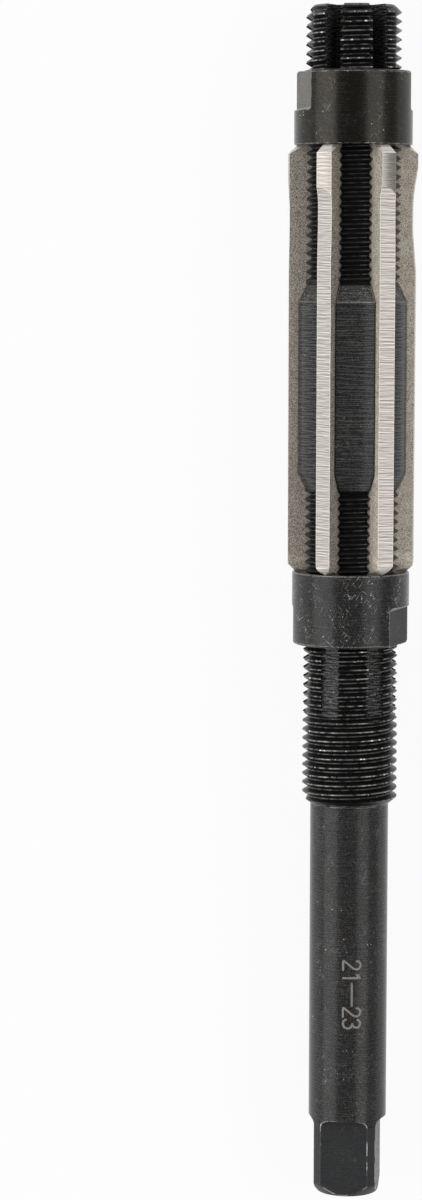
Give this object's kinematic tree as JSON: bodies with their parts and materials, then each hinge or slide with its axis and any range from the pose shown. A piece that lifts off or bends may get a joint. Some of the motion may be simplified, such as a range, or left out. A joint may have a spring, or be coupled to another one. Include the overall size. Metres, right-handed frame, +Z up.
{
  "type": "adjustable hand reamer",
  "caption": "Straight bar tool with sliding cutting blades in sloping slots, held between two cone nuts on a fine thread, with a plain shank and a square end for a wrench.",
  "frame": {"origin": "middle of the length, below the axis, on the surface that the tool lies on", "axes": "+Y along the axis towards the threaded entry end, -Y towards the wrench square, +Z up, +X to the right seen from above with the entry end away"},
  "size_m": [0.0216, 0.2002, 0.0199],
  "materials": {
    "black_oxide_steel": "black oxide, fine turned marks, light worn edges",
    "ground_tool_steel": "ground bright lands, grey matt sides"
  },
  "bodies": {
    "reamer_body": {"reamer_body": "black_oxide_steel"},
    "front_nut": {"front_nut": "black_oxide_steel"},
    "rear_nut": {"rear_nut": "black_oxide_steel"},
    "blade_1": {"blade_1": "ground_tool_steel"},
    "blade_2": {"blade_2": "ground_tool_steel"},
    "blade_3": {"blade_3": "ground_tool_steel"},
    "blade_4": {"blade_4": "ground_tool_steel"},
    "blade_5": {"blade_5": "ground_tool_steel"},
    "blade_6": {"blade_6": "ground_tool_steel"}
  },
  "joints": [
    {"name": "rear_nut_travel", "type": "slide", "parent": "reamer_body", "child": "rear_nut", "axis": [0, -1, 0], "range_m": [-0.0088, 0.0207]},
    {"name": "front_nut_travel", "type": "slide", "parent": "reamer_body", "child": "front_nut", "axis": [0, -1, 0], "range_m": [-0.00821, 0.0193]},
    {"name": "blade_1_slide", "type": "slide", "parent": "reamer_body", "child": "blade_1", "axis": [0.0174, -0.9994, 0.0302], "range_m": [-0.00851, 0.02002]},
    {"name": "blade_2_slide", "type": "slide", "parent": "reamer_body", "child": "blade_2", "axis": [0.0349, -0.9994, 0], "range_m": [-0.00851, 0.02002]},
    {"name": "blade_3_slide", "type": "slide", "parent": "reamer_body", "child": "blade_3", "axis": [0.0174, -0.9994, -0.0302], "range_m": [-0.00851, 0.02002]},
    {"name": "blade_4_slide", "type": "slide", "parent": "reamer_body", "child": "blade_4", "axis": [-0.0174, -0.9994, -0.0302], "range_m": [-0.00851, 0.02002]},
    {"name": "blade_5_slide", "type": "slide", "parent": "reamer_body", "child": "blade_5", "axis": [-0.0349, -0.9994, 0], "range_m": [-0.00851, 0.02002]},
    {"name": "blade_6_slide", "type": "slide", "parent": "reamer_body", "child": "blade_6", "axis": [-0.0174, -0.9994, 0.0302], "range_m": [-0.00851, 0.02002]}
  ],
  "couplings": [
    {"joint": "front_nut_travel", "follows": "rear_nut_travel", "ratio": 0.93251},
    {"joint": "blade_1_slide", "follows": "rear_nut_travel", "ratio": 0.96685},
    {"joint": "blade_2_slide", "follows": "rear_nut_travel", "ratio": 0.96685},
    {"joint": "blade_3_slide", "follows": "rear_nut_travel", "ratio": 0.96685},
    {"joint": "blade_4_slide", "follows": "rear_nut_travel", "ratio": 0.96685},
    {"joint": "blade_5_slide", "follows": "rear_nut_travel", "ratio": 0.96685},
    {"joint": "blade_6_slide", "follows": "rear_nut_travel", "ratio": 0.96685}
  ]
}
